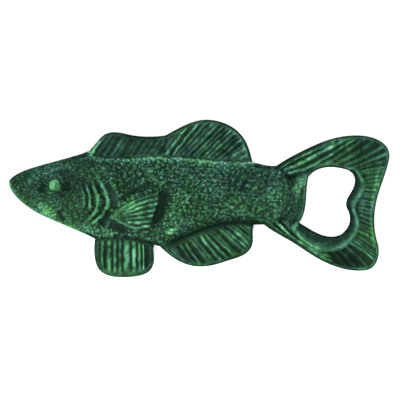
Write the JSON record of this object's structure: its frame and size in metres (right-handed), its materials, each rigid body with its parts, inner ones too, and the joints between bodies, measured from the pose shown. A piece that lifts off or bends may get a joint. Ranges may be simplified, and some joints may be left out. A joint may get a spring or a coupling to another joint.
{
  "type": "bottle opener",
  "caption": "Fish-shaped cast-iron bottle opener; an opening in the tail fin, with a lifting lug on one side, levers off crown caps.",
  "frame": {"origin": "Under the centre of the casting's box, at the lowest point of its back face, with the fish lying on its side.", "axes": "+X from snout to tail, +Y from belly to dorsal fins, +Z through the thickness, up."},
  "size_m": [0.165, 0.0682, 0.0128],
  "materials": {
    "green_iron": "Sand-cast iron under a satin verdigris paint: a near-black green in the recesses, lighter blue-green dry-brushed over the scales, fin rays and edges."
  },
  "bodies": {
    "root": {"head": "green_iron", "lower_jaw": "green_iron", "front_eye": "green_iron", "back_eye": "green_iron", "gill_cover": "green_iron", "trunk": "green_iron", "front_pectoral_fin": "green_iron", "back_pectoral_fin": "green_iron", "spiny_dorsal_fin": "green_iron", "soft_dorsal_fin": "green_iron", "pelvic_fin": "green_iron", "anal_fin": "green_iron", "tail_root": "green_iron", "tail_upper_lobe": "green_iron", "tail_rear_web": "green_iron", "tail_lower_lobe": "green_iron", "fulcrum_lip": "green_iron", "opening_rim": "green_iron", "lifting_lug": "green_iron"}
  },
  "joints": []
}
